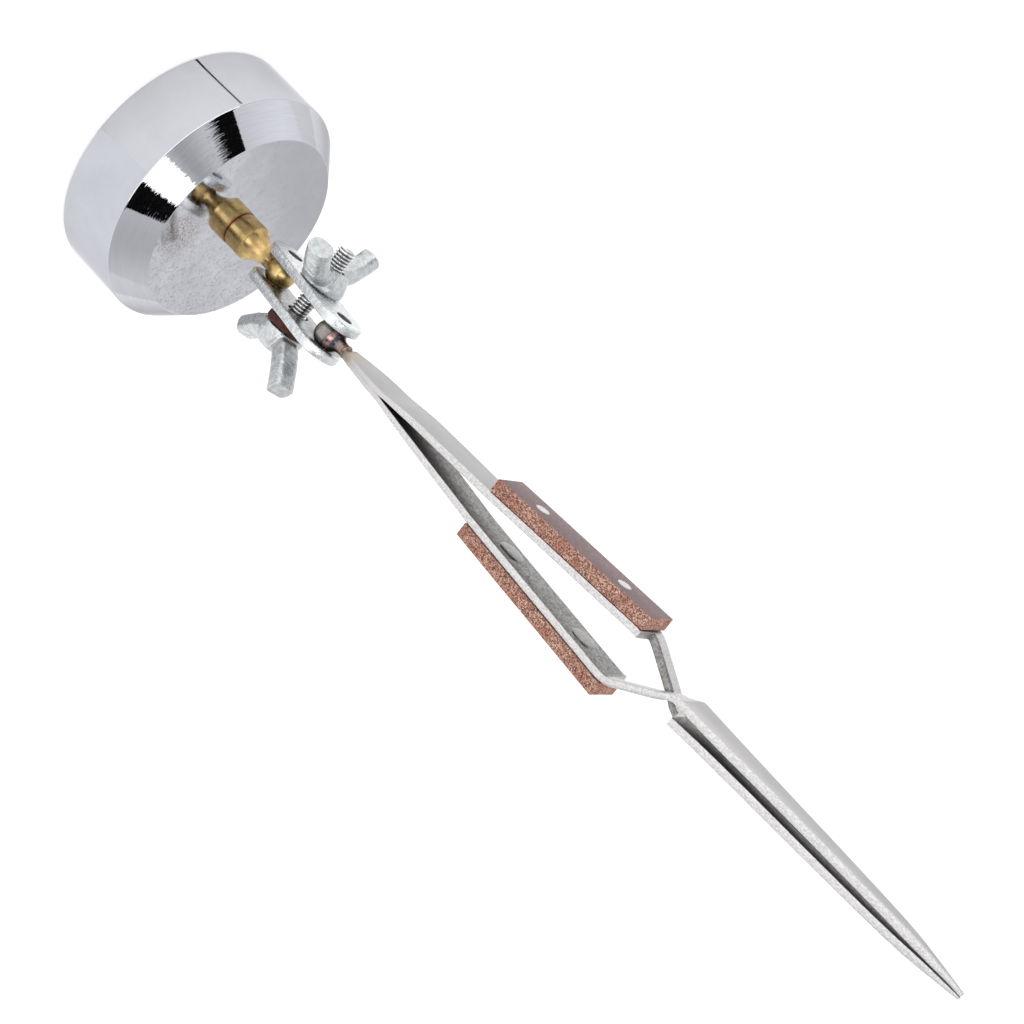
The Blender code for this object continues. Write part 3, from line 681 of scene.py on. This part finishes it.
def build_base():
    """Chamfered weight in one piece: wall, chamfer and face have their own finish."""
    hole, bottom = STUD_HOLE[0], BASE_HEIGHT - STUD_HOLE[1]
    outline = [
        (0.0, 0.0), (BASE_RADIUS - BASE_FOOT, 0.0), (BASE_RADIUS, BASE_FOOT), (BASE_RADIUS, BASE_WALL_TOP),
        (BASE_FACE_RADIUS, BASE_HEIGHT), (hole, BASE_HEIGHT), (hole, bottom), (0.0, bottom),
    ]

    def slot_of(low, high):
        """Material number of a band: wall, chamfer or face with its hole."""
        middle = .5 * (low[1] + high[1])
        if middle > BASE_HEIGHT - BASE_FINISH_STEP or high[0] < hole + .2:
            return 2
        return 1 if middle > BASE_WALL_TOP + BASE_FINISH_STEP else 0

    shell = lathe(rounded(outline, BASE_CORNERS, 5), BASE_SEGMENTS, slot_of)
    materials = (chrome_wall(), chrome_chamfer(), chrome_face())
    make_piece("base_turned", shell, TO_METRES, materials, "base", ("base_weight",))


def build_post():
    """Brass post: stud, plain collar, waisted neck and ball."""
    foot = BASE_HEIGHT + .03
    stud, length = STUD
    collar = rounded([
        (0.0, foot - length), (stud, foot - length), (stud, foot), (COLLAR[0] - POST_CHAMFER, foot),
        (COLLAR[0], foot + POST_CHAMFER), COLLAR, POST_NECK[0],
    ], .08, 3)
    start = math.pi - math.asin(POST_NECK[-1][0] / BALL_RADIUS)
    shell = lathe(collar + list(POST_NECK[1:]) + ball_profile(POST_BALL.z, start, 0.0)[1:], 96)
    make_piece("ball_post_turned", shell, TO_METRES, (brass(),), "post", ("ball_post",))


# ---- clamp

def stadium(radius, steps=40):
    """Outline around both ball centres, in the plate's plane."""
    points = []
    for centre, turn in ((BALL_SPACING - PLATE_TRIM, 0.0), (0.0, math.pi)):
        for step in range(steps + 1):
            y, z = polar(radius, turn + math.pi * step / steps)
            points.append((y, centre + z))
    return points


def circle(radius, centre, steps=48):
    """Outline of a hole in the plate's plane."""
    spots = [polar(radius, TURN * step / steps) for step in range(steps)]
    return [(y, centre + z) for y, z in spots]


def rolled_edge(face, way, angles):
    """Profile of a plate's rounded rim at one face, (depth, reach)."""
    spots = [polar(1.0, angle) for angle in angles]
    return [(face + way * PLATE_ROUND * (1.0 - x), PLATE_END - PLATE_ROUND * (1.0 - y)) for x, y in spots]


def opening(mouth, hole, depth, flare):
    """Profile of a plate's seat or bore from the ball side, (depth, radius)."""
    flared = PLATE_OUTER - flare, hole
    return (PLATE_INNER, mouth), (PLATE_INNER + depth, hole), flared, (PLATE_OUTER, hole + flare)


def plate_shell(side):
    """Pressed plate with rolled edges, two ball seats and the screw hole."""
    shell = Shell()
    rims = {"inner": [], "outer": []}

    def wall(levels, outline):
        """Skin rings of one opening or of the outside, from the inner to the outer face."""
        rows = []
        for depth, size in levels:
            row = []
            for y, z in outline(size):
                lump = .05 * noise.noise(Vector((depth * .6 + 7.0 * side, y * .45, z * .45)))
                scale = 1.0 + lump / max(abs(y), 3.0)
                row.append(shell.point((side * depth, y * scale, z), (depth, y, z)))
            rows.append(row)
        # the walls of the openings take slot 1, the darker zinc of painted shade
        skin_rows(shell, rows, 0 if outline is stadium else 1)
        rims["inner"].append(rows[0])
        rims["outer"].append(rows[-1])

    inner_part = rolled_edge(PLATE_INNER, 1.0, np.linspace(0.0, QUARTER, 6))
    outer_part = rolled_edge(PLATE_OUTER, -1.0, np.linspace(QUARTER, 0.0, 6))
    wall(inner_part + outer_part, stadium)
    seat, bore = opening(*SEAT, .12), opening(SCREW_HOLE + .1, SCREW_HOLE, .1, .1)
    for centre, levels in ((0.0, seat), (BALL_SPACING, seat), (.5 * BALL_SPACING, bore)):
        wall(levels, lambda size, spot=centre: circle(size, spot))
    for key, slot in (("inner", 1), ("outer", 0)):
        cap_with_holes(shell, rims[key], slot)
    return shell


def cap_with_holes(shell, loops, slot):
    """Fill the flat area between the first loop and the others."""
    builder = bmesh.new()
    lookup, edges = {}, []
    for loop in loops:
        corners = [builder.verts.new(shell.verts[index]) for index in loop]
        lookup.update(zip(corners, loop))
        edges += [builder.edges.new(pair) for pair in zip(corners, corners[1:] + corners[:1])]
    filled = bmesh.ops.triangle_fill(builder, edges=edges, use_beauty=True, use_dissolve=False)
    for item in filled["geom"]:
        if isinstance(item, bmesh.types.BMFace):
            shell.face([lookup[corner] for corner in item.verts], slot)
    builder.free()


def build_plates():
    """Both plates: pale rolled outside; the ball side and the walls of the openings take a darker copy of
    the zinc, painted shade between the plates.
    """
    outside = zinc("zinc_plate_outside", .76, 1.3, .11)
    # painted shade: the ball side takes the same zinc at half the tone
    inside = zinc("zinc_plate_inside_painted_shade", .36, .8, .05)
    for label, side, body in (("front", -1.0, "clamp"), ("rear", 1.0, "clamp_rear")):
        make_piece(
            label + "_plate_pressed", plate_shell(side), CLAMP, (outside, inside), body,
            (label + "_plate",),
        )


def build_washer():
    """Fibre washer with slightly ragged rim."""
    bore, rim, near, far = WASHER
    profile = [
        (bore, near), (rim - .1, near), (rim, near + .12), (rim + .02, .5 * (near + far)),
        (rim, far - .12), (rim - .1, far), (bore, far),
    ]
    shell = lathe(profile, 96, wobble=.1, ring=True)
    fibre = (washer_fibre(),)
    make_piece("fibre_washer_ring", shell, SCREW_AXIS, fibre, "clamp", ("fibre_washer",))


def thread(start, finish):
    """Helical thread about Z between two heights, with chamfered ends."""
    shell = Shell()
    count = int((finish - start) / THREAD_PITCH * THREAD_ROWS)
    rows = []
    for step in range(count + 1):
        height = start + (finish - start) * step / count
        room = min(height - start, finish - height)
        limit = THREAD_ROOT - .12 + min(room, THREAD_CHAMFER)
        row = []
        for index in range(THREAD_SIDES):
            phase = (height / THREAD_PITCH - index / THREAD_SIDES) % 1.0
            swell = .5 - .5 * math.cos(TURN * phase)
            radius = min(THREAD_ROOT + (THREAD_CREST - THREAD_ROOT) * swell ** .8, limit)
            spot = (*polar(radius, TURN * index / THREAD_SIDES), height)
            row.append(shell.point(spot, (height, swell, 0.0)))
        rows.append(row)
    ends = [[shell.point((0.0, 0.0, height))] for height in (start, finish)]
    skin_rows(shell, [ends[0], *rows, ends[1]])
    return shell


def wing(path, half_turn, width, thickness, power):
    """One cast wing of rounded-box section, capped flat at both ends."""
    shell = Shell()
    rows = []
    knots = np.array(path, float)
    run = np.linspace(0.0, len(knots) - 1.0, WING_ROWS)
    centre = np.stack([np.interp(run, range(len(knots)), knots[:, axis]) for axis in (0, 1)], 1)
    for index, (height, radius) in enumerate(centre):
        before, after = centre[max(0, index - 1)], centre[min(len(centre) - 1, index + 1)]
        ahead = (after - before) / np.linalg.norm(after - before)
        row = []
        for step in range(WING_SIDES):
            angle = TURN * step / WING_SIDES
            across = math.copysign(abs(math.cos(angle)) ** power, math.cos(angle))
            through = math.copysign(abs(math.sin(angle)) ** power, math.sin(angle))
            offset = .5 * thickness * through
            spot = Vector((radius - ahead[0] * offset, .5 * width * across, height + ahead[1] * offset))
            row.append(shell.point(Matrix.Rotation(math.pi * half_turn, 3, "Z") @ spot))
        rows.append(row)
    skin_rows(shell, rows)
    for row in (rows[0], rows[-1]):
        middle = sum((Vector(shell.verts[corner]) for corner in row), Vector()) / len(row)
        skin(shell, [shell.point(middle)], row)
    return shell


def fused(shell, voxel, smoothing, lump):
    """Melt overlapping closed shells into one cast skin."""
    mesh = new_mesh("melt", shell.verts, shell.faces)
    tidy_normals(mesh)
    item = new_object("melt", mesh)
    remesh = item.modifiers.new("remesh", "REMESH")
    remesh.mode = "VOXEL"
    remesh.voxel_size = voxel
    smooth = item.modifiers.new("smooth", "SMOOTH")
    smooth.iterations = smoothing
    smooth.factor = .5
    bpy.context.view_layer.update()
    result = bpy.data.meshes.new_from_object(item.evaluated_get(bpy.context.evaluated_depsgraph_get()))
    melted = Shell()
    for vertex in result.vertices:
        push = lump * noise.noise(vertex.co * .8)
        melted.point(vertex.co + vertex.normal * push, vertex.co)
    for polygon in result.polygons:
        melted.face(polygon.vertices)
    bpy.data.objects.remove(item)
    bpy.data.meshes.remove(result)
    return melted


def build_fasteners():
    """Wing screw with its helical thread, and the wing nut."""
    cast = zinc("zinc_cast", .6, 1.0, .13)
    bright = thread_zinc()
    hub = lathe([(0.0, 0.0), *HUB, (2.6, 4.85), (0.0, 5.0)], 48)
    hub.take(wing(SCREW_WING_PATH, 0, 4.5, 4.0, .45))
    hub.take(wing(STUB_WING_PATH, 1, 5.2, 4.2, .7))
    head = fused(hub, .16, 4, .05)
    screw = Shell()
    turn = Matrix.Rotation(QUARTER - SCREW_WING_ANGLE, 4, "Z")
    screw.take(head, Matrix.Translation((0.0, 0.0, HEAD_START)) @ turn)
    screw.take(thread(-SCREW_TIP, HEAD_START + .4), None, 1)
    both = (cast, bright)
    make_piece("wing_screw_cast", screw, SCREW_AXIS, both, "screw", ("wing_screw",))

    ring = lathe([(NUT_BORE, 0.0), *HUB, (3.0, 4.6), (NUT_BORE, 4.6)], 64, ring=True)
    ring.take(wing(NUT_WING_PATH, 0, 5.3, 4.2, .85))
    ring.take(wing(NUT_WING_PATH, 1, 4.6, 4.0, .85))
    nut = fused(ring, .16, 3, .05)
    matrix = SCREW_SEAT @ Matrix.Translation((NUT_START, 0.0, 0.0)) @ Matrix.Rotation(QUARTER, 4, "Y")
    matrix = matrix @ Matrix.Rotation(QUARTER + NUT_WING_ANGLE, 4, "Z")
    make_piece("wing_nut_cast", nut, matrix, (cast,), "nut", ("wing_nut",))


# ---- tweezers

def build_tip_ball():
    """Heat-marked ball with its neck, and the lumpy bead of braze."""
    start = math.asin(TIP_NECK[1][0] / BALL_RADIUS) + .13
    shell = lathe([*TIP_NECK, *ball_profile(0.0, start, math.pi)], 96)
    dark = (blued(),)
    make_piece("tweezer_ball_turned", shell, TWEEZERS, dark, "tip_ball", ("tweezer_ball",))
    shell = lathe(rounded(BEAD, .2, 3), 64, wobble=.18)
    make_piece("braze_bead_flow", shell, TWEEZERS, (braze(),), "tang", ("braze_bead",))


def strip_column(lengths, axis):
    """One column of the blades' table, interpolated."""
    table = np.array(STRIP, float)
    return np.interp(lengths, table[:, 0], table[:, axis])


def strip_rows():
    """Stations of a blade every half millimetre, with its bends eased."""
    table = np.array(STRIP, float)
    fine = np.arange(table[0, 0], table[-1, 0], .5)
    lengths = np.union1d(np.round(fine, 3), np.round(table[:, 0], 3))
    eased = [
        np.mean([strip_column(lengths + shift, axis) for shift in np.linspace(-.8, .8, 7)], axis=0)
        for axis in (1, 2)
    ]
    return np.stack([lengths, *eased, strip_column(lengths, 3), strip_column(lengths, 4)], 1)


def strip_section(length, near, far, low, high, radii):
    """Rounded rectangle of a section; radii are those of its near and its far side."""
    room = min(.46 * (far - near), .4 * (high - low))
    small, large = min(radii[0], room), min(radii[1], room)
    corners = (
        (near + small, low + small, math.pi, small), (far - large, low + large, 3.0 * QUARTER, large),
        (far - large, high - large, 0.0, large), (near + small, high - small, QUARTER, small),
    )
    points = []
    for x, y, start, radius in corners:
        for step in range(CORNER_POINTS):
            right, up = polar(radius, start + QUARTER * step / (CORNER_POINTS - 1))
            points.append((x + right, y + up, length))
    return points


def strip_shell(rows, side, corner_radius, slots):
    """Skin a strip; slots are the material numbers of its outer, edge and inner sides."""
    shell = Shell()
    outer_slot, edge_slot, inner_slot = slots
    around = 4 * CORNER_POINTS
    rings = []
    for length, near, far, low, high in rows:
        across = side * look_up(MID_PLANE, length)
        along = side * look_up(WIDTH_SHIFT, length)
        radii = corner_radius(length)
        section = strip_section(length, near + across, far + across, low + along, high + along, radii)
        rings.append([shell.point((x, y, z), (y, z, x)) for x, y, z in section])
    for index, (below, above) in enumerate(zip(rings[:-1], rings[1:])):
        length = rows[index][0]
        sides = (inner_slot, outer_slot) if length > CROSSING else (outer_slot, inner_slot)
        for step in range(around):
            following = (step + 1) % around
            slot = {around // 2 - 1: sides[0], around - 1: sides[1]}.get(step, edge_slot)
            # painted shade: in the notch the cut edge on the high side takes the dark inner-face nickel
            if NOTCH[0] < length < NOTCH[1]:
                slot = inner_slot if around // 2 <= step < around - 1 else edge_slot
            shell.face((below[step], below[following], above[following], above[step]), slot)
    shell.face(rings[0], edge_slot)
    shell.face(rings[-1], edge_slot)
    return shell


def blade_corners(length):
    """Corner radius of a blade on its near and its far side."""
    inner, outer = look_up(INNER_CORNER, length), look_up(OUTER_CORNER, length)
    return (outer, inner) if length > CROSSING else (inner, outer)


def arm_faces(length):
    """Inner and outer face of an arm at a length."""
    return float(strip_column(length, 1)), float(strip_column(length, 2))


def arm_slope(length):
    """Angle of an arm to the tweezers' length."""
    return math.atan2(arm_faces(length + 2.0)[1] - arm_faces(length - 2.0)[1], 4.0)


def grip_rows():
    """Stations of a grip lying on the arm and running straight on past the bend."""
    rows = []
    slope = math.tan(arm_slope(GRIP_STRAIGHT_END - 4.0))
    for length in np.linspace(GRIP_START, GRIP_END, 60):
        seat = arm_faces(min(length, GRIP_STRAIGHT_END))[1] + slope * max(0.0, length - GRIP_STRAIGHT_END)
        near, far = seat + GRIP_GAP, seat + .3 + GRIP_THICKNESS
        rows.append((length, near, far, -GRIP_HALF_WIDTH, GRIP_HALF_WIDTH))
    return rows


def rivet_shell():
    """Rivet along Z: low dome on the inner face, plain end flush with the pad."""
    top = BLADE_THICKNESS + GRIP_THICKNESS + .34
    shank, bevel, flat = RIVET_END
    dome = [(radius, DOME_FOOT - share * DOME_RISE) for radius, share in DOME]
    end = [(shank, DOME_FOOT), (shank, top - .06), (bevel, top), (flat, top + .02), (0.0, top + .02)]
    return lathe(dome + end, 56)


def on_arm(length, side):
    """Matrix that stands a rivet on the inner face of an arm."""
    inner = arm_faces(length)[0] + side * look_up(MID_PLANE, length)
    return Matrix.Translation((inner, 0.0, length)) @ Matrix.Rotation(QUARTER + arm_slope(length), 4, "Y")


def build_arm(label, side, turn, materials):
    """Continuous blade from the braze to the tip, its grip and its rivets."""
    nickel, fibre, bright = materials
    matrix = TWEEZERS @ Matrix.Rotation(turn, 4, "Z")
    body = label + "_arm"
    strip = strip_shell(strip_rows(), side, blade_corners, (0, 1, 2))
    nodes = (label + "_blade", label + "_root")
    blade = make_piece(label + "_blade_strip", strip, matrix, nickel, None, nodes)
    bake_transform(blade)
    pad = strip_shell(grip_rows(), side, lambda length: GRIP_CORNERS, (0, 1, 1))
    make_piece(label + "_grip_pad", pad, matrix, fibre, body, (label + "_grip",))
    for length, name in RIVETS:
        node = label + "_rivet_" + name
        spot = matrix @ on_arm(length, side)
        make_piece(node + "_turned", rivet_shell(), spot, bright, body, (node,))


def build_tweezers():
    """Ball, braze and both arms."""
    build_tip_ball()
    nickel = (blade_face(), blade_edge(), blade_inner())
    fibre = (grip_skin(), grip_edge())
    bright = (rivet_steel(),)
    for label, side, turn in (("upper", 1.0, 0.0), ("lower", -1.0, math.pi)):
        build_arm(label, side, turn, (nickel, fibre, bright))


# ---- studio

CAMERA_PLACE = (.123264, .486921, .339931)
CAMERA_TURN = (-1.000342, -.676793, -.629437)
CAMERA_LENS = 105.5157

# Soft boxes that light everything without showing in gloss:
# (azimuth, elevation, width, height, distance, radiance)
SOFT_BOXES = (
    (88.0, 46.0, 1.05, .62, 1.3, 3.2),
    (-70.0, 50.0, 1.2, .8, 1.5, 1.2),
    (-150.0, 45.0, 1.2, .8, 1.5, 1.2),
)
# Room seen only in gloss: (azimuth, radiance) round a band between two elevations
ROOM_BAND = (11.0, 70.0)
ROOM_DISTANCE, CARD_DISTANCE = 1.45, 1.3
ROOM_TONES = (
    (-180, .72), (-162, .86), (-138, .84), (-114, .82), (-90, .92), (-60, .98), (-30, 1.06), (-8, .94),
    (6, .84), (26, .8), (42, .76), (54, .6), (66, .48), (76, .66), (90, 1.0), (112, .9), (134, .68),
    (150, .62), (164, .61), (174, .67), (180, .72),
)
# Cards seen only in gloss: (left and right azimuth at the foot, the same at the head, elevation of the foot
# and of the head, radiance)
CARDS = (
    (9.0, 24.0, 10.0, 40.0, 18.0, 66.0, .004),
    (80.0, 113.0, 77.0, 109.0, 24.0, 66.0, 2.3),
    (106.0, 134.0, 112.0, 133.0, 18.0, 66.0, .004),
    (8.0, 124.0, 8.0, 124.0, 1.0, 15.0, 2.2),
)
# Thin mark on the floor beside the base, seen only in gloss: azimuth of its start and its direction in
# degrees, length, width at its start and its end, grey
FLOOR_MARK = (38.0, -2.0, .026, .00045, .001, .03)
# Slightly brighter part of the floor seen only in gloss: corner (azimuth, distance from the base centre)
FLOOR_SHEET = ((89.0, .0271), (95.0, .11), (150.0, .16), (200.0, .11), (190.0, .0271), (140.0, .0271))
FLOOR_SHEET_TONE = 1.16
FLOOR_HALF = 6.0


def direction(azimuth, elevation):
    """Unit vector of a direction in degrees."""
    reach, height = polar(1.0, math.radians(elevation))
    return Vector((*polar(reach, math.radians(azimuth)), height))


def card_material(name, grey):
    """Even emission for a card."""
    material = bpy.data.materials.new(name)
    material.use_nodes = True
    tree = material.node_tree
    tree.nodes.clear()
    emission = add_node(tree, "Emission", {"Color": (grey, grey, grey * 1.03, 1.0)})
    add_node(tree, "OutputMaterial", {"Surface": emission.outputs[0]})
    return material


def band_mesh(name, foot, head, elevations, distance, tone_at):
    """Part of a sphere round the base; its edges run from the foot to the head azimuths."""
    rows, columns = 12, 48
    places, faces, tones = [], [], []
    pairs = (foot[0], head[0]), (foot[1], head[1]), elevations
    for row in range(rows + 1):
        start, finish, elevation = (low + (high - low) * row / rows for low, high in pairs)
        for column in range(columns + 1):
            azimuth = start + (finish - start) * column / columns
            places.append(direction(azimuth, elevation) * distance)
            tones.append(tone_at(azimuth))
            first = len(places) - 1
            if row < rows and column < columns:
                faces.append((first, first + 1, first + columns + 2, first + columns + 1))
    mesh = new_mesh(name, places, faces)
    attribute = mesh.attributes.new("tone", "FLOAT", "POINT")
    attribute.data.foreach_set("value", np.array(tones, np.float32))
    return mesh


def band_material():
    """Emission taken from the tone stored on the mesh."""
    material = card_material("gloss_room", 1.0)
    tree = material.node_tree
    tone = add_node(tree, "Attribute", {}, attribute_name="tone")
    put(tree, tree.nodes["Emission"], {"Strength": tone.outputs["Fac"]})
    return material


def stage_card(name, mesh, material, place):
    """Link one card that the view, the diffuse light and the shadows leave out."""
    mesh.materials.append(material)
    item = new_object(name, mesh)
    item.location = place
    for rays in ("camera", "diffuse", "shadow", "transmission"):
        setattr(item, "visible_" + rays, False)
    return item


def build_cards():
    """Room and cards that the plated base mirrors."""
    centre = (0.0, 0.0, .02)
    material = band_material()
    whole = (-180.0, 180.0)
    room = band_mesh("room", whole, whole, ROOM_BAND, ROOM_DISTANCE, lambda at: look_up(ROOM_TONES, at))
    stage_card("room", room, material, centre)
    for index, (foot_left, foot_right, head_left, head_right, low, high, tone) in enumerate(CARDS):
        name = "card_" + str(index)
        distance = CARD_DISTANCE - .05 * (tone < .1)  # dark cards hang in front of the bright ones
        foot, head = (foot_left, foot_right), (head_left, head_right)
        mesh = band_mesh(name, foot, head, (low, high), distance, lambda at, tone=tone: tone)
        stage_card(name, mesh, material, centre)
    azimuth, towards, length, start_width, end_width, grey = FLOOR_MARK
    outline = ((0.0, -start_width), (length, -end_width), (length, end_width), (0.0, start_width))
    mesh = new_mesh("floor_mark", [(x, .5 * y, 0.0) for x, y in outline], [(0, 1, 2, 3)])
    start = direction(azimuth, 0.0) * BASE_RADIUS * MM + Vector((0.0, 0.0, .0002))
    item = stage_card("floor_mark", mesh, card_material("floor_mark", grey), start)
    item.rotation_euler = (0.0, 0.0, math.radians(towards))
    corners = [direction(at, 0.0) * reach for at, reach in FLOOR_SHEET]
    mesh = new_mesh("floor_sheet", corners, [tuple(range(len(corners)))])
    stage_card("floor_sheet", mesh, card_material("floor_sheet", FLOOR_SHEET_TONE), (0.0, 0.0, .0001))


def build_lights():
    """Soft boxes round the object."""
    centre = Vector((0.0, .02, .08))
    for index, (azimuth, elevation, width, height, distance, radiance) in enumerate(SOFT_BOXES):
        light = bpy.data.lights.new("soft_box_" + str(index), "AREA")
        light.shape = "RECTANGLE"
        light.size, light.size_y = width, height
        light.energy = radiance * math.pi * width * height
        item = new_object(light.name, light)
        way = direction(azimuth, elevation)
        item.location = centre + way * distance
        item.rotation_euler = way.to_track_quat("Z", "Y").to_euler()
        item.visible_camera = False
        item.visible_glossy = False


def build_world():
    """Pale surroundings: white below the horizon, a little grey above it, nearly white overhead."""
    world = bpy.data.worlds.new("studio")
    bpy.context.scene.world = world
    world.use_nodes = True
    tree = world.node_tree
    way = add_node(tree, "TexCoord", {}).outputs["Generated"]
    height = add_node(tree, "SeparateXYZ", {0: way}).outputs["Z"]
    ramp = add_node(tree, "ValToRGB", {0: height})
    elements = ramp.color_ramp.elements
    elements[0].color = (1.0, 1.0, 1.0, 1.0)
    elements[1].color = (.98, .98, 1.0, 1.0)
    elements.new(.45).color = (.86, .865, .885, 1.0)
    put(tree, tree.nodes["Background"], {"Color": ramp.outputs[0], "Strength": 1.0})


def build_floor():
    """Large pale floor under the base."""
    corners = [(x * FLOOR_HALF, y * FLOOR_HALF, 0.0) for x, y in ((-1, -1), (1, -1), (1, 1), (-1, 1))]
    item = new_object("floor", new_mesh("floor", corners, [(0, 1, 2, 3)]))
    item.data.materials.append(floor_material())


def build_camera():
    """Camera at the viewing angle of the photograph."""
    data = bpy.data.cameras.new("camera")
    data.lens = CAMERA_LENS
    data.clip_start, data.clip_end = .01, 50.0
    item = new_object("camera", data)
    item.location = CAMERA_PLACE
    item.rotation_euler = CAMERA_TURN
    bpy.context.scene.camera = item


def build_studio():
    """Camera, floor, lights and view transform."""
    build_camera()
    build_floor()
    build_world()
    build_lights()
    build_cards()
    settings = bpy.context.scene.view_settings
    settings.view_transform = "Standard"
    settings.look = "None"


build_base()
build_post()
build_plates()
build_washer()
build_fasteners()
build_tweezers()
build_studio()
